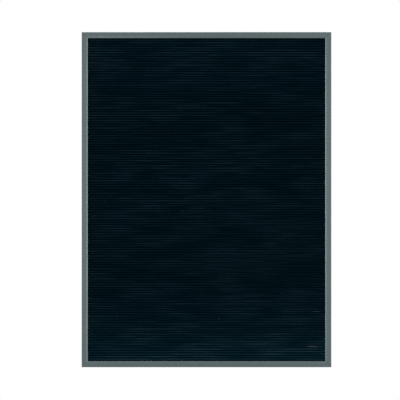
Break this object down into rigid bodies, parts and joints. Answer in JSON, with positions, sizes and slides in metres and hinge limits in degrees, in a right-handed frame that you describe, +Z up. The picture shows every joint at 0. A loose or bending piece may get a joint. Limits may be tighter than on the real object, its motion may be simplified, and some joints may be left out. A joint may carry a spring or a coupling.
{
  "type": "felt letter board",
  "caption": "Portrait letter board: a dark felt panel with fine horizontal slits for letters, in a mitred grey aluminium channel frame with keyhole hangers behind.",
  "frame": {"origin": "middle of the bottom edge: mid width, mid depth with the wall pads included, at the underside of the bottom rail", "axes": "+Z up the board's height, +X to the right as seen from the front, +Y from the front to the wall behind; the felt faces -Y"},
  "size_m": [0.745, 0.0274, 1],
  "materials": {
    "anodised_aluminium": "satin anodised, mid grey",
    "needle_felt": "napped felt, blue-black",
    "fibreboard": "sawn, uncoated",
    "hardboard": "smooth brown hardboard",
    "zinc_plated_steel": "zinc plated",
    "bright_steel": "cold rolled",
    "black_oxide_steel": "black oxide",
    "blued_spring_steel": "blued spring steel",
    "black_rubber": "matt"
  },
  "bodies": {
    "root": {"backboard": "hardboard", "corner_angle_bottom_left": "zinc_plated_steel", "corner_angle_bottom_right": "zinc_plated_steel", "corner_angle_top_left": "zinc_plated_steel", "corner_angle_top_right": "zinc_plated_steel", "corner_shim_bottom_left": "bright_steel", "corner_shim_bottom_right": "bright_steel", "corner_shim_top_left": "bright_steel", "corner_shim_top_right": "bright_steel", "felt_face": "needle_felt", "hanger_left": "blued_spring_steel", "hanger_right": "blued_spring_steel", "rail_bottom": "anodised_aluminium", "rail_left": "anodised_aluminium", "rail_right": "anodised_aluminium", "rail_top": "anodised_aluminium", "set_screw_bottom_left_1": "black_oxide_steel", "set_screw_bottom_left_2": "black_oxide_steel", "set_screw_bottom_right_1": "black_oxide_steel", "set_screw_bottom_right_2": "black_oxide_steel", "set_screw_top_left_1": "black_oxide_steel", "set_screw_top_left_2": "black_oxide_steel", "set_screw_top_right_1": "black_oxide_steel", "set_screw_top_right_2": "black_oxide_steel", "slotted_core": "fibreboard", "spring_clip_bottom_1": "blued_spring_steel", "spring_clip_bottom_2": "blued_spring_steel", "spring_clip_bottom_3": "blued_spring_steel", "spring_clip_left_1": "blued_spring_steel", "spring_clip_left_2": "blued_spring_steel", "spring_clip_left_3": "blued_spring_steel", "spring_clip_right_1": "blued_spring_steel", "spring_clip_right_2": "blued_spring_steel", "spring_clip_right_3": "blued_spring_steel", "spring_clip_top_1": "blued_spring_steel", "spring_clip_top_2": "blued_spring_steel", "spring_clip_top_3": "blued_spring_steel", "wall_pad_bottom_left": "black_rubber", "wall_pad_bottom_right": "black_rubber", "wall_pad_top_left": "black_rubber", "wall_pad_top_right": "black_rubber"}
  },
  "joints": []
}
